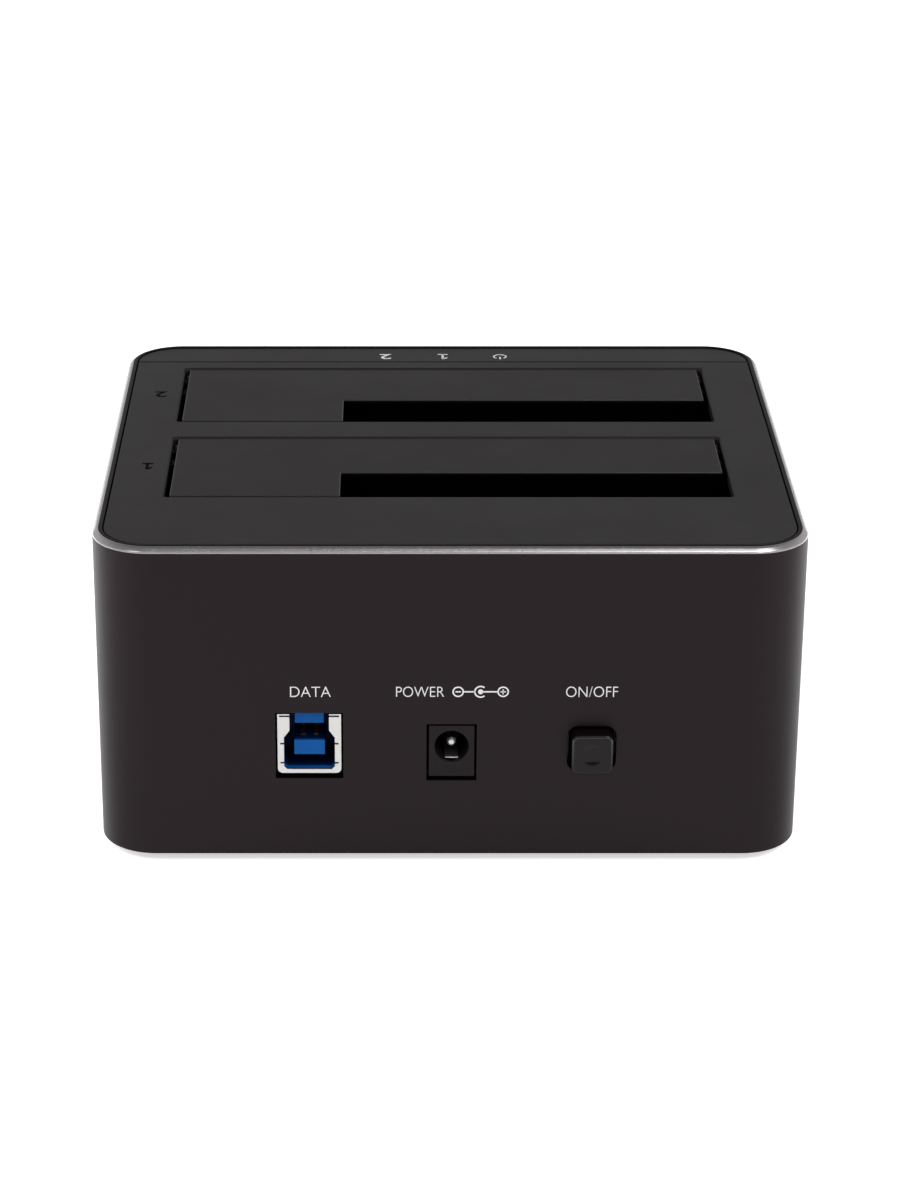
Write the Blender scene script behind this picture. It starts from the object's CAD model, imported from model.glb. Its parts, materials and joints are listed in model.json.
import json
from math import pi, radians, sin, tan

import bmesh
import bpy
from mathutils import Matrix, Vector


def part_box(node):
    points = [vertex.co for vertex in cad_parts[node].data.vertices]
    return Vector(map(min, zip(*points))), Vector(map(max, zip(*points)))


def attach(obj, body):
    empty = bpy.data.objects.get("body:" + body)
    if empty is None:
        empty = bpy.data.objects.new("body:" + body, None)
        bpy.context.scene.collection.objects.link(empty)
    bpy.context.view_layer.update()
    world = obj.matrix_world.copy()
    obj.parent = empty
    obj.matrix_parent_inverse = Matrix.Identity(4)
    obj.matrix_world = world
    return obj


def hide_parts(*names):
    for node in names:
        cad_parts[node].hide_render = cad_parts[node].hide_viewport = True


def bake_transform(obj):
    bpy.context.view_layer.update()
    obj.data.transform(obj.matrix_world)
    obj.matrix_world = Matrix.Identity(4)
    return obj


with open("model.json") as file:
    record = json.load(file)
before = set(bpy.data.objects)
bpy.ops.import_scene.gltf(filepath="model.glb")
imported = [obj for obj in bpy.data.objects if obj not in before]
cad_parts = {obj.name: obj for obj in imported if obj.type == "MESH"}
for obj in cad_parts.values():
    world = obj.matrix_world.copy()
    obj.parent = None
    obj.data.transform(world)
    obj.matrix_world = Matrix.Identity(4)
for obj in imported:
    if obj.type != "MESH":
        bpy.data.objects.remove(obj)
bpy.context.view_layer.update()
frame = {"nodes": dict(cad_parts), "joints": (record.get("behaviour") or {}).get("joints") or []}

MM = 0.001


# Base plate. A plate of matt black plastic, injection moulded with its standoffs,
# screw pads and air slots. It closes the sleeve from below and carries the board.

class Value:
    """A socket in a finish's nodes. Arithmetic on it adds Math nodes."""

    def __init__(self, socket):
        self.socket = socket

    def node(self, kind, settings, sockets, output=0):
        """Adds a node. Its settings come first, then the values or links of its sockets."""
        tree = self.socket.id_data
        made = tree.nodes.new(kind)
        for name, setting in settings.items():
            setattr(made, name, setting)
        for name, value in sockets.items():
            if isinstance(value, Value):
                tree.links.new(value.socket, made.inputs[name])
            else:
                made.inputs[name].default_value = value
        return Value(made.outputs[output])

    def maths(self, operation, *terms):
        """A Math node on these terms."""
        return self.node("ShaderNodeMath", {"operation": operation}, dict(enumerate(terms)))

    def __add__(self, other):
        return self.maths("ADD", self, other)

    def __radd__(self, other):
        return self.maths("ADD", other, self)

    def __sub__(self, other):
        return self.maths("SUBTRACT", self, other)

    def __rsub__(self, other):
        return self.maths("SUBTRACT", other, self)

    def __mul__(self, other):
        return self.maths("MULTIPLY", self, other)

    def __rmul__(self, other):
        return self.maths("MULTIPLY", other, self)


def blank_finish(name, **constants):
    """A new material, its shader and the place on the piece. Constants go to the shader's sockets."""
    material = bpy.data.materials.new(name)
    material.use_nodes = True
    nodes = material.node_tree.nodes
    shader = nodes["Principled BSDF"]
    for socket, value in constants.items():
        shader.inputs[socket.replace("_", " ")].default_value = value
    place = Value(nodes.new("ShaderNodeTexCoord").outputs["Object"])
    return material, shader, place


def feed(shader, socket, value):
    """Links a value to one of the shader's sockets."""
    shader.id_data.links.new(value.socket, shader.inputs[socket])


def noise(place, size, detail=2.0):
    """Grey noise whose blotches are about that many millimetres across."""
    return place.node(
        "ShaderNodeTexNoise", {},
        {"Vector": place, "Scale": 1 / (size * MM), "Detail": detail, "Roughness": 0.6},
    )


def uneven(pattern, spread):
    """A pattern's swings about its middle, over that spread."""
    return (pattern - 0.5) * spread


def shades(amount, dark, light):
    """A colour between two, by an amount from 0 to 1. Mix has its colour sockets at these numbers."""
    factor, first, second, result = 0, 6, 7, 2
    return amount.node(
        "ShaderNodeMix", {"data_type": "RGBA"},
        {factor: amount, first: (*dark, 1), second: (*light, 1)}, result,
    )


def relief(shader, pattern, depth, strength=0.5):
    """Lets a pattern stand out from the surface, by a depth in millimetres."""
    feed(shader, "Normal", pattern.node(
        "ShaderNodeBump", {}, {"Strength": strength, "Distance": depth * MM, "Height": pattern}
    ))


def moulded_plastic(name, colour, roughness, specular, grain=0.22, depth=0.012, mottle=0.1):
    """Plastic from a spark-eroded mould: an even matt grain, with faint cloudy differences in gloss."""
    material, shader, place = blank_finish(name, Specular_IOR_Level=specular)
    pits = noise(place, grain)
    clouds = noise(place, size=18, detail=4.0)
    dark = [c * (1 - mottle) for c in colour]
    light = [c * (1 + mottle) for c in colour]
    feed(shader, "Base Color", shades(pits * 0.5 + clouds * 0.5, dark, light))
    feed(shader, "Roughness", roughness + uneven(clouds, 0.12) + uneven(pits, 0.1))
    relief(shader, pits, depth)
    return material


def meshed(name, shape):
    """The mesh of a finished bmesh, which isn't needed any more."""
    mesh = bpy.data.meshes.new(name)
    shape.to_mesh(mesh)
    shape.free()
    return mesh


def add_object(name, mesh, *finishes):
    """Puts a finished mesh into the scene."""
    for finish in finishes:
        mesh.materials.append(finish)
    made = bpy.data.objects.new(name, mesh)
    bpy.context.scene.collection.objects.link(made)
    return made


weld, flat_angle, sharp_angle = 0.001, 0.5, 32


def solid_form(node):
    """The merged form of a CAD solid, each of its flat faces in one piece."""
    shape = bmesh.new()
    shape.from_mesh(frame["nodes"][node].data)
    bmesh.ops.remove_doubles(shape, verts=shape.verts, dist=weld * MM)
    bmesh.ops.dissolve_limit(
        shape, angle_limit=radians(flat_angle), verts=shape.verts, edges=shape.edges
    )
    shape.normal_update()
    for face in shape.faces:
        face.smooth = True
        face.material_index = 0
    return shape


def softened(name, node, body, slot, *finishes, edge, steps=2, shape=None, edge_finish=-1):
    """A piece in the form of its solid, with the edges broken as moulding or deburring leaves them.
    The edge is in millimetres. Its faces take the finish beside them, or the one of that number."""
    piece = add_object(name, meshed(name, shape or solid_form(node)), *finishes)
    broken = piece.modifiers.new("broken edges", "BEVEL")
    broken.width = edge * MM
    broken.segments = steps
    broken.limit_method = "ANGLE"
    broken.angle_limit = radians(sharp_angle)
    broken.use_clamp_overlap = False
    broken.material = edge_finish
    shading = piece.modifiers.new("even shading", "WEIGHTED_NORMAL")
    shading.mode = "FACE_AREA"
    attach(piece, body)
    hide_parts(node)


base_black = moulded_plastic(
    "base black", (0.012, 0.0118, 0.0118), roughness=0.62, specular=0.2, grain=0.4, depth=0.02
)
softened("floor_plate", "base_plate", "casing", "base", base_black, edge=0.2)


# Feet. Four pads of black rubber, punched from a moulded sheet with a bevelled rim
# and glued into round recesses of the base plate.

foot_rubber = moulded_plastic(
    "foot rubber", (0.011, 0.011, 0.0112), roughness=0.8, specular=0.12,
    grain=0.6, depth=0.03, mottle=0.25,
)
softened("table_feet", "rubber_feet", "casing", "feet", foot_rubber, edge=0.25)


# Screws. Zinc-plated steel with a bluish pale sheen, turned and rolled. Four long ones
# pull base, sleeve and deck together, four hold the board, four hang the bay wells.

def dress(finish, *nodes):
    """Gives CAD pieces whose form is right a finish of their own."""
    for node in nodes:
        for slot in frame["nodes"][node].material_slots:
            slot.material = finish


def plated_metal(name, colour, roughness, grain, flecks=1.0):
    """Drawn or plated metal: fine flecks in its colour and gloss, and a faint cloudiness."""
    material, shader, place = blank_finish(name, Metallic=1.0)
    specks = noise(place, grain, detail=3.0)
    clouds = noise(place, size=5, detail=3.0)
    dark = [c * (1 - 0.12 * flecks) for c in colour]
    feed(shader, "Base Color", shades(specks * 0.6 + clouds * 0.4, dark, colour))
    feed(shader, "Roughness", roughness + (uneven(specks, 0.14) + uneven(clouds, 0.1)) * flecks)
    relief(shader, specks, depth=0.004, strength=0.25 * flecks)
    return material


zinc = plated_metal("zinc plate", (0.62, 0.63, 0.66), roughness=0.32, grain=0.12)
dress(zinc, "case_screws", "board_screws", "bay_well_screws")


# Board. Glass-fibre laminate under green solder mask, with copper tracks that stand
# a little proud below the mask and show as a lighter green.

def solder_mask():
    material, shader, place = blank_finish("green solder mask", Coat_Weight=0.4, Coat_Roughness=0.2)
    tracks = place.node(
        "ShaderNodeTexBrick", {"offset": 0.35, "squash": 0.6, "squash_frequency": 3},
        {"Vector": place, "Scale": 110.0, "Mortar Size": 0.012, "Mortar Smooth": 0.1}, 1,
    )
    weave = noise(place, size=0.6)
    feed(shader, "Base Color", shades(
        tracks * 0.75 + weave * 0.25, (0.006, 0.034, 0.016), (0.016, 0.09, 0.04)
    ))
    feed(shader, "Roughness", 0.42 + uneven(weave, 0.15))
    relief(shader, tracks + weave * 0.2, depth=0.03)
    return material


dress(solder_mask(), "main_board")


# Parts on the board. Chips and chokes in black filled epoxy with a matt laser-blasted
# top, and aluminium cans, whose sleeveless sides are bright from deep drawing.

epoxy = moulded_plastic(
    "filled epoxy", (0.016, 0.016, 0.017), roughness=0.58, specular=0.3,
    grain=0.12, depth=0.008, mottle=0.2,
)
dress(epoxy, "bridge_chip", "memory_chip", "inductors")

can_metal = plated_metal("drawn can", (0.72, 0.72, 0.74), roughness=0.28, grain=0.2)
dress(can_metal, "capacitors")


# Lights. Three clear resin chips on the board, and over each one a rod of the clear
# acrylic light guide, which ends under the deck below a sign.

def clear_resin(name, colour, roughness):
    material, shader, place = blank_finish(name, IOR=1.49, Transmission_Weight=0.85)
    ripples = noise(place, size=1.5)
    feed(shader, "Base Color", shades(ripples, [c * 0.94 for c in colour], colour))
    feed(shader, "Roughness", roughness + uneven(ripples, 0.08))
    return material


dress(clear_resin("light chip resin", (0.93, 0.9, 0.78), roughness=0.25), "indicator_leds")
dress(clear_resin("light guide acrylic", (0.9, 0.94, 0.96), roughness=0.12), "light_guide")


# Drive sockets. Two 22-way sockets in glass-filled black nylon stand upright on the
# board. Their spring contacts are stamped bronze with a thin flash of gold.

nylon = moulded_plastic(
    "glass-filled nylon", (0.0075, 0.007, 0.007), roughness=0.5, specular=0.3, grain=0.3, depth=0.008
)
for bay in ("rear", "front"):
    softened(f"{bay}_drive_socket", f"{bay}_sata_socket", "casing", "socket_plastic", nylon, edge=0.12)

gold_flash = plated_metal("gold flash", (0.86, 0.6, 0.24), roughness=0.26, grain=0.1)
dress(gold_flash, "rear_sata_contacts", "front_sata_contacts")


# Data socket. A folded shell of nickel-plated steel, whose face is bent over the mouth
# and leaves a seam under the top edge. Inside is the blue moulded tongue carrier, with
# contacts like those of the drive sockets.

nickel = plated_metal("nickel plate", (0.52, 0.515, 0.5), roughness=0.4, grain=0.25)
softened("data_shell", "usb_shell", "casing", "bright_metal", nickel, edge=0.07)
dress(gold_flash, "usb_contacts")


def along(place, axis):
    """Where a point lies along X, Y or Z."""
    return place.node("ShaderNodeSeparateXYZ", {}, {"Vector": place}, axis)


def limited(value):
    """A value kept between 0 and 1."""
    return value.maths("MAXIMUM", value.maths("MINIMUM", value, 1), 0)


def blue_nylon(tongue, mouth, front, reach):
    """Blue plastic with a fine grain, that darkens with the depth of the mouth behind the tongues."""
    material, shader, place = blank_finish("blue nylon", Specular_IOR_Level=0.12)
    grain = noise(place, size=0.2)
    depth = limited((along(place, "Y") - front) * (1 / reach))
    feed(shader, "Base Color", shades(depth * 0.95 + grain * 0.05, tongue, mouth))
    feed(shader, "Roughness", 0.45 + uneven(grain, 0.15))
    relief(shader, grain, depth=0.004)
    return material


tongue_in, mouth_reach = 1.2, 0.9
tongue_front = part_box("usb_shell")[0].y + tongue_in * MM
tongue_blue, mouth_blue = (0.0025, 0.095, 0.365), (0.001, 0.008, 0.05)
softened(
    "data_tongues", "usb_insulator", "casing", "blue_plastic",
    blue_nylon(tongue_blue, mouth_blue, tongue_front, mouth_reach * MM), edge=0.1,
)


# Power inlet. A black nylon block with a round plug hole, a turned nickel pin in its
# middle and a springy leaf below that presses on the plug's barrel.

inlet_black = moulded_plastic(
    "inlet black", (0.0102, 0.0072, 0.008), roughness=0.5, specular=0.13, grain=0.25, depth=0.008
)
softened("power_inlet", "dc_jack_body", "casing", "socket_plastic", inlet_black, edge=0.15)
softened("inlet_pin", "dc_jack_pin", "casing", "bright_metal", nickel, edge=0.12, steps=3)
softened("inlet_leaf", "dc_jack_spring", "casing", "bright_metal", nickel, edge=0.06)


# Push button. A black cap with a shallow finger dish and glossy round edges, pressed on the
# ivory plunger of the switch behind the rear wall. Cap and plunger move in together.

cap_black = moulded_plastic(
    "cap black", (0.0046, 0.0024, 0.0032), roughness=0.14, specular=0.165,
    grain=0.35, depth=0.002, mottle=0.06,
)


def polished_edge(low, high):
    """Black plastic that thumbs have rubbed to a clear gloss, least along the lower edge."""
    material, shader, place = blank_finish(
        "cap edge black", Specular_IOR_Level=0.16, Coat_Roughness=0.06
    )
    rubbing = noise(place, size=0.35)
    upper = limited((along(place, "Z") - low) * (1 / (high - low)))
    feed(shader, "Base Color", shades(rubbing, (0.0043, 0.0034, 0.0037), (0.0049, 0.0038, 0.0041)))
    feed(shader, "Roughness", 0.12 + uneven(rubbing, 0.08))
    feed(shader, "Coat Weight", upper * (0.9 + uneven(rubbing, 0.2)))
    return material


def middle_of(node):
    """The middle of a CAD piece's box."""
    low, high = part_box(node)
    return (low + high) / 2


def only(kind, geometry):
    """The verts, edges or faces among what an operator made."""
    return [part for part in geometry if isinstance(part, kind)]


cap_low, cap_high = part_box("power_button")
dish_top = middle_of("power_button")
dish_top.y = cap_low.y
dish_radius, dish_depth, dish_rings = 2.3, 0.4, 12
rim_slack, floor_slack = 0.015, 0.01
ball_radius = (dish_radius ** 2 + dish_depth ** 2) / (2 * dish_depth)
cap_form = solid_form("power_button")
inside = [
    vert for vert in cap_form.verts
    if (vert.co - dish_top).xz.length < (dish_radius - rim_slack) * MM
    and vert.co.y - dish_top.y < (dish_depth + floor_slack) * MM
]
bmesh.ops.delete(cap_form, geom=inside, context="VERTS")
ring = [edge for edge in cap_form.edges if edge.is_boundary]
for step in range(1, dish_rings):
    ring = only(bmesh.types.BMEdge, bmesh.ops.extrude_edge_only(cap_form, edges=ring)["geom"])
    radius = dish_radius * (1 - step / dish_rings)
    sag = dish_depth - ball_radius + (ball_radius ** 2 - radius ** 2) ** 0.5
    for vert in {v for edge in ring for v in edge.verts}:
        out = (vert.co - dish_top).xz.normalized() * radius * MM
        vert.co = dish_top + Vector((out.x, sag * MM, out.y))
bmesh.ops.holes_fill(cap_form, edges=ring)
bmesh.ops.recalc_face_normals(cap_form, faces=cap_form.faces)
for face in cap_form.faces:
    face.smooth = True

gloss_start = 1.0
cap_edge = polished_edge(cap_low.z + gloss_start * MM, cap_high.z)
softened(
    "button_cap", "power_button", "button", "button", cap_black, cap_edge,
    edge=0.45, steps=4, shape=cap_form, edge_finish=1,
)

ivory = moulded_plastic(
    "ivory acetal", (0.66, 0.62, 0.53), roughness=0.45, specular=0.4,
    grain=0.5, depth=0.004, mottle=0.05,
)
dress(ivory, "switch_plunger")
dress(epoxy, "switch_body")


# Bay wells. Deep trays in plain black plastic hang under the deck on side tabs. They
# guide a drive between two ribs on to its socket, and stay dark under the flaps.

well_black = moulded_plastic(
    "well black", (0.005, 0.0048, 0.0048), roughness=0.7, specular=0.1, grain=0.4, depth=0.015
)
for bay in ("rear", "front"):
    softened(f"{bay}_well", f"{bay}_bay_well", "casing", "wells", well_black, edge=0.2)


# Deck. One moulding of matt black plastic, let into the sleeve behind a narrow shadow
# gap, with two chamfered slots and a strip along the front that falls away a little.

deck_black = moulded_plastic(
    "deck black", (0.0095, 0.0078, 0.0083), roughness=0.45, specular=0.2, grain=0.2, depth=0.01
)
deck_low, deck_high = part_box("top_cover")
deck_middle = middle_of("top_cover")
groove_depth, skirt_step, deck_corner, deck_spread = 1.4, 0.35, 8.65, 0.2
level_slack, border_slack = 0.01, 0.02
border_floor = deck_high.z - (groove_depth + level_slack) * MM
straight = (deck_high - deck_low).xy / 2 - Vector((1, 1)) * (skirt_step + deck_corner) * MM
deck_form = solid_form("top_cover")
for vert in deck_form.verts:
    spot = (vert.co - deck_middle).xy
    out = Vector([max(abs(s) - half, 0) * (1 if s > 0 else -1) for s, half in zip(spot, straight)])
    if vert.co.z > border_floor and abs(out.length - deck_corner * MM) < border_slack * MM:
        vert.co += (out.normalized() * deck_spread * MM).to_3d()
softened("deck", "top_cover", "casing", "deck", deck_black, edge=0.1, shape=deck_form)


# Flaps. Two sprung L-shaped lids in the deck's plastic, with edges that drives have rubbed
# a little glossy. The cut-away corner lets a narrow drive in, and a wide one pushes the
# whole lid down.

flap_colour = (0.009, 0.0072, 0.0077)
flap_black = moulded_plastic(
    "flap black", flap_colour, roughness=0.44, specular=0.155, grain=0.2, depth=0.01
)
flap_edge = moulded_plastic(
    "flap edge black", flap_colour, roughness=0.34, specular=0.7, grain=0.2, depth=0.006
)
for bay in ("rear", "front"):
    softened(
        f"{bay}_lid", f"{bay}_flap", f"{bay}_flap", "flaps", flap_black, flap_edge,
        edge=0.22, steps=3, edge_finish=1,
    )


# Hinge pins and springs. Blackened steel pins carry the lids. On each sits a torsion spring
# of bright wire, one leg against the well and one under the lid, which winds up with it.

blackened = plated_metal("blackened steel", (0.03, 0.029, 0.03), roughness=0.35, grain=0.08)
dress(blackened, "rear_flap_pin", "front_flap_pin")


def drawn_out(wire, end, move):
    """Lengthens a wire at one end by a move in millimetres, and gives the new end."""
    made = bmesh.ops.extrude_face_region(wire, geom=end)["geom"]
    bmesh.ops.translate(wire, verts=only(bmesh.types.BMVert, made), vec=Vector(move) * MM)
    return only(bmesh.types.BMFace, made)


spring_wire = plated_metal("spring wire", (0.55, 0.55, 0.56), roughness=0.25, grain=0.08)
wire_radius, coil_radius, coil_pitch, turns, turn_steps = 0.22, 1.15, 1.1, 5, 24
coil_start, leg_reach, leg_rise, well_reach = -44.0, 9.0, 1.7, 2.72
for bay, joint in zip(("rear", "front"), frame["joints"]):
    hinge = Vector(joint["pos_m"])
    wire = bmesh.new()
    bmesh.ops.create_circle(wire, cap_ends=True, radius=wire_radius * MM, segments=12)
    bmesh.ops.rotate(wire, verts=wire.verts, matrix=Matrix.Rotation(pi / 2, 3, "X"))
    bmesh.ops.translate(wire, verts=wire.verts, vec=Vector((coil_start, well_reach, -coil_radius)) * MM)
    coil_root = drawn_out(wire, wire.faces[:], (0, -well_reach, 0))
    coil_end = bmesh.ops.spin(
        wire, geom=coil_root, cent=(coil_start * MM, 0, 0), axis=(-1, 0, 0),
        dvec=(coil_pitch / turn_steps * MM, 0, 0), angle=2 * pi * turns,
        steps=turns * turn_steps, use_merge=False,
    )["geom_last"]
    bmesh.ops.delete(wire, geom=coil_root, context="FACES_ONLY")
    leg_root = only(bmesh.types.BMFace, coil_end)
    drawn_out(wire, leg_root, (0, -leg_reach, leg_rise))
    bmesh.ops.delete(wire, geom=leg_root, context="FACES_ONLY")
    bmesh.ops.translate(wire, verts=wire.verts, vec=hinge)
    bmesh.ops.recalc_face_normals(wire, faces=wire.faces)
    for face in wire.faces:
        face.smooth = True
    name = f"{bay}_lid_spring"
    spring = add_object(name, meshed(name, wire), spring_wire)
    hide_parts(f"{bay}_flap_spring")
    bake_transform(spring)


# Sleeve. A seamless band of extruded aluminium, blasted and anodised black. Afterwards
# its upper edge is cut with a diamond tool, which leaves a narrow bright chamfer.

def anodised():
    material, shader, place = blank_finish("black anodised", Metallic=1.0)
    blast = noise(place, size=0.11)
    clouds = noise(place, size=25, detail=3.0)
    feed(shader, "Base Color", shades(
        blast * 0.6 + clouds * 0.4, (0.0172, 0.0136, 0.0149), (0.0204, 0.0162, 0.0177)
    ))
    feed(shader, "Roughness", 0.46 + uneven(clouds, 0.08) + uneven(blast, 0.12))
    relief(shader, blast, depth=0.006, strength=0.35)
    return material


bright_cut = plated_metal(
    "bright cut aluminium", (0.615, 0.592, 0.598), roughness=0.27, grain=0.06, flecks=0.15
)
rim_depth, upper_round, lower_round, inner_round, round_steps = 1.3, 0.55, 0.3, 0.25, 5
rim_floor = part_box("outer_sleeve")[1].z - rim_depth * MM
level, chamfer, wall, slope_slack = 1, sin(radians(45)), 0, 0.05


def rim_edges(shape, flatter, steeper):
    """Edges of the rim between faces of two slopes, which are the Z of their normals."""
    return [
        edge for edge in shape.edges
        if all(vert.co.z > rim_floor for vert in edge.verts)
        and abs(max(face.normal.z for face in edge.link_faces) - flatter) < slope_slack
        and abs(min(face.normal.z for face in edge.link_faces) - steeper) < slope_slack
    ]


sleeve_form = solid_form("outer_sleeve")
for flatter, steeper, width in (
    (level, chamfer, upper_round), (chamfer, wall, lower_round), (level, wall, inner_round),
):
    bmesh.ops.bevel(
        sleeve_form, geom=rim_edges(sleeve_form, flatter, steeper), offset=width * MM,
        offset_type="OFFSET", segments=round_steps, profile=0.5, affect="EDGES", material=-1,
    )
    sleeve_form.normal_update()

steepest_cut, flattest_cut = 0.15, 0.93
sleeve_middle = middle_of("outer_sleeve")
for face in sleeve_form.faces:
    face.smooth = True
    spot = face.calc_center_median()
    outward = face.normal.xy.dot((spot - sleeve_middle).xy) > 0
    if outward and spot.z > rim_floor and steepest_cut < face.normal.z < flattest_cut:
        face.material_index = 1
softened(
    "sleeve", "outer_sleeve", "casing", "sleeve", anodised(), bright_cut, edge=0.1, shape=sleeve_form
)


# Legends. White epoxy ink, screen printed on the rear wall over the sockets and the
# button: plain words and the usual sign for a positive centre pin.

ink_proud, legend_height = 0.02, 35.5
rear_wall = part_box("outer_sleeve")[0].y


def printed_ink(name, colour, roughness, specular=0.5):
    material, shader, place = blank_finish(name, Specular_IOR_Level=specular)
    mesh_marks = noise(place, size=0.15)
    feed(shader, "Base Color", shades(mesh_marks, [c * 0.9 for c in colour], colour))
    feed(shader, "Roughness", roughness + uneven(mesh_marks, 0.2))
    relief(shader, mesh_marks, depth=0.004, strength=0.2)
    return material


def on_rear(node, aside):
    """The place of a print over a socket or the button, that far to the right of its middle."""
    spot = Vector((middle_of(node).x + aside * MM, rear_wall, legend_height * MM))
    return Matrix.Translation(spot) @ Matrix.Rotation(pi / 2, 4, "X")


def print_on_casing(name, mesh, ink):
    piece = add_object(name, mesh, ink)
    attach(piece, "casing")


def lettering(name, words, fit, stand, ink, trim=0.012):
    """Flat letters of a width and height in millimetres, put in place by a matrix."""
    curve = bpy.data.curves.new(name, "FONT")
    curve.body = words
    curve.align_x = "CENTER"
    curve.offset = -trim
    curve.extrude = 0.5
    maker = bpy.data.objects.new(name + ".form", curve)
    bpy.context.scene.collection.objects.link(maker)
    bpy.context.view_layer.update()
    mesh = bpy.data.meshes.new_from_object(maker.evaluated_get(bpy.context.evaluated_depsgraph_get()))
    bpy.data.objects.remove(maker)
    bpy.data.curves.remove(curve)
    mesh.name = name
    low = Vector(map(min, zip(*(v.co for v in mesh.vertices))))
    high = Vector(map(max, zip(*(v.co for v in mesh.vertices))))
    width, height, thickness = high - low
    stretch = Matrix.Diagonal((fit[0] / width, fit[1] / height, 2 * ink_proud / thickness)).to_4x4()
    mesh.transform(stand @ Matrix.Scale(MM, 4) @ stretch @ Matrix.Translation(-(low + high) / 2))
    print_on_casing(name, mesh, ink)


white_ink = printed_ink("white ink", (0.86, 0.86, 0.86), roughness=0.55)
lettering("data_legend", "DATA", (7.6, 2.1), on_rear("usb_shell", aside=0.3), white_ink)
lettering("inlet_legend", "POWER", (9.0, 2.1), on_rear("dc_jack_body", aside=-5.95), white_ink)
lettering("button_legend", "ON/OFF", (9.7, 2.15), on_rear("power_button", aside=-0.2), white_ink)


def band(shape, x, radius, line, gap=0, facing=0):
    """A flat ring about a point on the X axis, in millimetres. A gap in degrees may face one way."""
    ends = [shape.verts.new((x + radius + side * line / 2, 0, 0)) for side in (-1, 1)]
    edge = shape.edges.new(ends)
    start = Matrix.Rotation(radians(facing + gap / 2), 3, "Z")
    bmesh.ops.rotate(shape, verts=ends, cent=(x, 0, 0), matrix=start)
    bmesh.ops.spin(
        shape, geom=[edge], cent=(x, 0, 0), axis=(0, 0, 1),
        angle=radians(360 - gap), steps=32, use_merge=gap == 0,
    )


def bar(shape, start, end, line):
    """A flat bar between two points, in millimetres."""
    start, end = Vector(start), Vector(end)
    along_bar = end - start
    made = bmesh.ops.create_grid(shape, x_segments=1, y_segments=1, size=0.5)["verts"]
    bmesh.ops.scale(shape, verts=made, vec=(along_bar.length, line, 1))
    turn = -Vector((1, 0)).angle_signed(along_bar)
    bmesh.ops.rotate(shape, verts=made, matrix=Matrix.Rotation(turn, 3, "Z"))
    bmesh.ops.translate(shape, verts=made, vec=((start + end) / 2).to_3d())


def sign(name, shape, stand, ink):
    """Gives a flat drawing in millimetres the thickness of its ink and puts it in place."""
    bmesh.ops.remove_doubles(shape, verts=shape.verts, dist=weld)
    bmesh.ops.recalc_face_normals(shape, faces=shape.faces)
    bmesh.ops.solidify(shape, geom=shape.faces[:], thickness=2 * ink_proud)
    middle = sum(vert.co.z for vert in shape.verts) / len(shape.verts)
    bmesh.ops.translate(shape, verts=shape.verts, vec=(0, 0, -middle))
    bmesh.ops.recalc_face_normals(shape, faces=shape.faces)
    mesh = meshed(name, shape)
    mesh.transform(stand @ Matrix.Scale(MM, 4))
    print_on_casing(name, mesh, ink)


pole_out, pole_radius, link_line = 4.2, 0.95, 0.28
mark_reach, mark_line, dot_radius = 0.5, 0.26, 0.5
cup_radius, cup_line, cup_gap = 1.1, 0.3, 100
link_start, link_end = 0.4, 3.1
polarity = bmesh.new()
for x in (-pole_out, pole_out):
    band(polarity, x, pole_radius, link_line)
    bar(polarity, (x - mark_reach, 0), (x + mark_reach, 0), mark_line)
bar(polarity, (pole_out, -mark_reach), (pole_out, mark_reach), mark_line)
band(polarity, 0, cup_radius, cup_line, gap=cup_gap)
bar(polarity, (-link_end, 0), (-cup_radius, 0), link_line)
bar(polarity, (link_start, 0), (link_end, 0), link_line)
bmesh.ops.create_circle(polarity, cap_ends=True, radius=dot_radius, segments=24)
sign("polarity_sign", polarity, on_rear("dc_jack_body", aside=5.35), white_ink)


# Signs on the deck. Numbers beside the bays, and over the light rods the two numbers
# again and a power sign, printed to be read from the front.

strip_start, strip_slope, light_pitch = 11.4, 1.0, 12.2
light_row = middle_of("light_guide").y
light_drop = (light_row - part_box("outer_sleeve")[1].y + strip_start * MM) * tan(radians(strip_slope))
turned = Matrix.Rotation(pi, 4, "Z")


def on_strip(x):
    spot = Matrix.Translation((x * MM, light_row, deck_high.z - light_drop))
    return spot @ Matrix.Rotation(radians(-strip_slope), 4, "X") @ turned


number_height, one_width, two_width, two_trim = 3.4, 2.2, 2.5, -0.02
two_fit = (two_width, number_height)
flag_low, flag_high = (-1.0, 0.7), (0.1, 1.6)


def figure_one(line):
    """A figure one with a flag and a foot, in lines of that width."""
    top, foot = number_height / 2, (line - number_height) / 2
    shape = bmesh.new()
    bar(shape, (0, -top), (0, top), line)
    bar(shape, (-one_width / 2, foot), (one_width / 2, foot), line)
    bar(shape, flag_low, flag_high, line)
    return shape


pale_ink = printed_ink("pale sign ink", (0.48, 0.48, 0.48), roughness=0.6)
sign("first_light_sign", figure_one(line=0.5), on_strip(0), pale_ink)
lettering("second_light_sign", "2", two_fit, on_strip(-light_pitch), pale_ink, two_trim)
ring_radius, ring_line, ring_gap, stroke_low, stroke_high = 1.3, 0.4, 70, 0.2, 1.8
power = bmesh.new()
band(power, 0, ring_radius, ring_line, gap=ring_gap, facing=90)
bar(power, (0, stroke_low), (0, stroke_high), ring_line)
sign("power_light_sign", power, on_strip(light_pitch), pale_ink)

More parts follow.
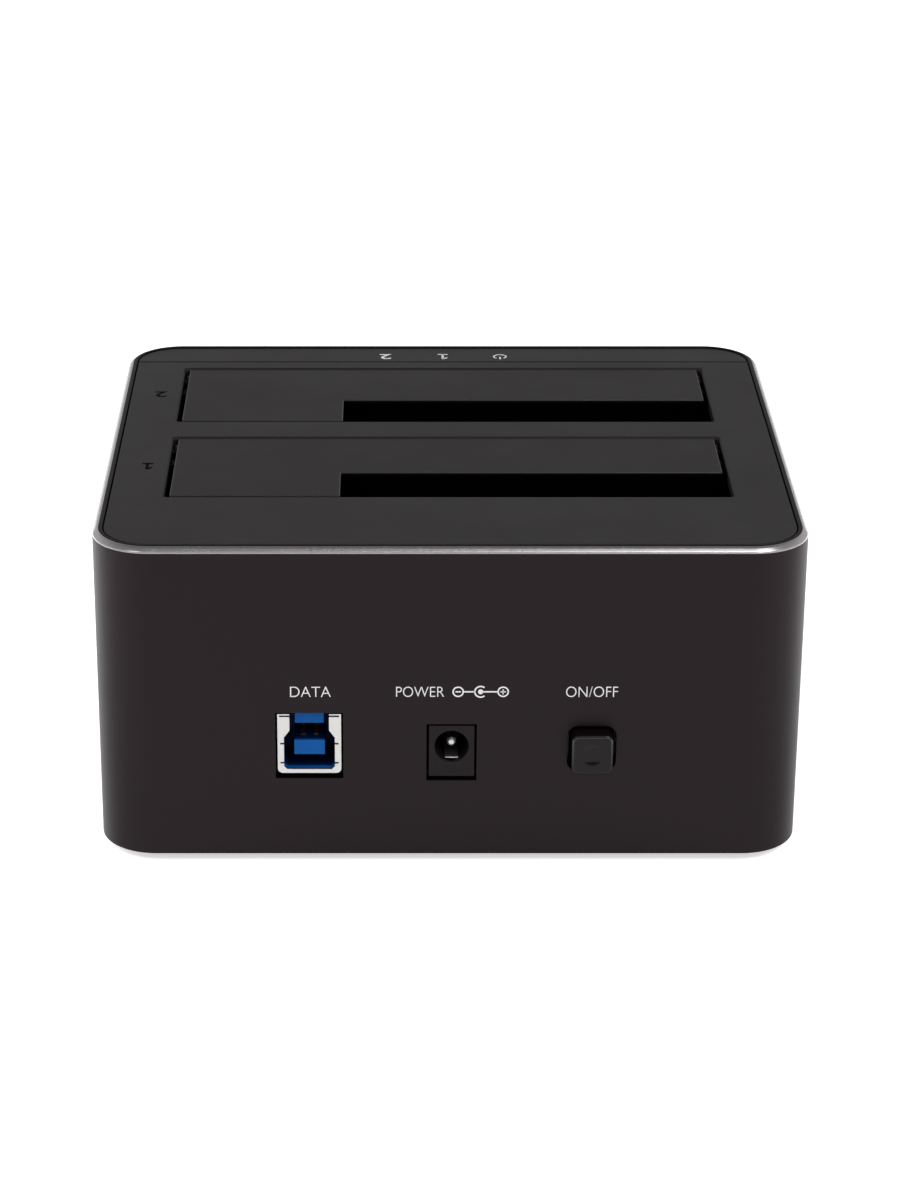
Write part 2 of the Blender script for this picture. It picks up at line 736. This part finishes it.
bay_sign_x, bay_sign_back = -58.6, 13.9
beside_rear, beside_front = (
    Matrix.Translation((bay_sign_x * MM, joint["pos_m"][1] - bay_sign_back * MM, deck_high.z)) @ turned
    for joint in frame["joints"][:2]
)
dark_ink = printed_ink("dark sign ink", (0.002, 0.002, 0.002), roughness=0.8, specular=0.05)
sign("bay_1_sign", figure_one(line=0.6), beside_rear, dark_ink)
lettering("bay_2_sign", "2", two_fit, beside_front, dark_ink, two_trim)


# Studio. The object stands on a white sweep, under a soft sky that is palest low over a dim
# horizon and dark overhead. A large soft light stands high on the right behind the camera and
# a small one on the left. Two more, which no surface mirrors, light the sweep at both sides.

def sweep_white(lift, oval, fade):
    """White paper, lifted to full white where it is seen or mirrored.
    In an oval under the object it is lifted less, so that the shadow stays."""
    material, shader, place = blank_finish(
        "white sweep", Roughness=0.9, Specular_IOR_Level=0.0, Emission_Strength=1.0
    )
    fibres = noise(place, size=1.2)
    feed(shader, "Base Color", shades(fibres, (0.84, 0.84, 0.84), (0.86, 0.86, 0.86)))
    seen, mirrored, through = (
        place.node("ShaderNodeLightPath", {}, {}, f"Is {kind} Ray")
        for kind in ("Camera", "Glossy", "Transmission")
    )
    met = seen.maths("MAXIMUM", seen, mirrored.maths("MAXIMUM", mirrored, through))
    spread = place.node(
        "ShaderNodeMapping", {}, {"Vector": place, "Scale": (1 / oval[0], 1 / oval[1], 0)}
    )
    reach = spread.node("ShaderNodeVectorMath", {"operation": "LENGTH"}, {0: spread}, "Value")
    away = limited((reach - 1) * (1 / fade))
    feed(shader, "Emission Color", shades(met * (lift + away * (1 - lift)), (0, 0, 0), (1, 1, 1)))
    return material


sweep_half = 6.0
sweep = bmesh.new()
bmesh.ops.create_grid(sweep, x_segments=8, y_segments=8, size=sweep_half)
floor = add_object("floor", meshed("floor", sweep), sweep_white(lift=0.58, oval=(0.1, 0.3), fade=0.8))

low_level, zenith_level, sky_fall = 0.9, 0.15, 1.5
room_shade, room_fall = 0.95, 8
world = bpy.data.worlds.new("soft sky")
world.use_nodes = True
sky = world.node_tree.nodes["Background"]
direction = Value(world.node_tree.nodes.new("ShaderNodeTexCoord").outputs["Generated"])
lowness = 1 - along(direction, "Z")
glow = lowness.maths("POWER", lowness, sky_fall)
room = lowness.maths("POWER", lowness, room_fall)
sky_level = (zenith_level + glow * (low_level - zenith_level)) * (1 - room * room_shade)
feed(sky, "Color", shades(sky_level, (0, 0, 0), (1, 1, 1)))
bpy.context.scene.world = world


def soft_light(name, place, aim, size, watts, mirrored=True):
    lamp = bpy.data.lights.new(name, "AREA")
    lamp.shape = "SQUARE"
    lamp.size = size
    lamp.energy = watts
    light = bpy.data.objects.new(name, lamp)
    light.location = place
    light.rotation_euler = (Vector(aim) - Vector(place)).to_track_quat("-Z", "Y").to_euler()
    light.visible_camera = False
    light.visible_glossy = mirrored
    bpy.context.scene.collection.objects.link(light)


soft_light("key_softbox", (0.42, -0.65, 0.92), aim=(0, 0, 0.05), size=0.55, watts=4.2)
soft_light("small_softbox", (-0.45, -0.6, 0.7), aim=(0, 0, 0.05), size=0.25, watts=0.5)
soft_light("left_softbox", (-0.38, -0.02, 0.3), aim=(-0.12, 0, 0), size=0.3, watts=2.0, mirrored=False)
soft_light("right_softbox", (0.42, 0.0, 0.3), aim=(0.12, 0, 0), size=0.3, watts=1.4, mirrored=False)

looking_down = 23.25
lens = bpy.data.cameras.new("camera")
lens.sensor_width = 36.0
lens.lens = 98.48
lens.shift_x = 0.0495
camera = bpy.data.objects.new("camera", lens)
camera.location = (-0.01112, -0.6128, 0.2932)
camera.rotation_euler = (radians(90 - looking_down), 0, 0)
bpy.context.scene.collection.objects.link(camera)
bpy.context.scene.camera = camera
bpy.context.scene.view_settings.view_transform = "Standard"
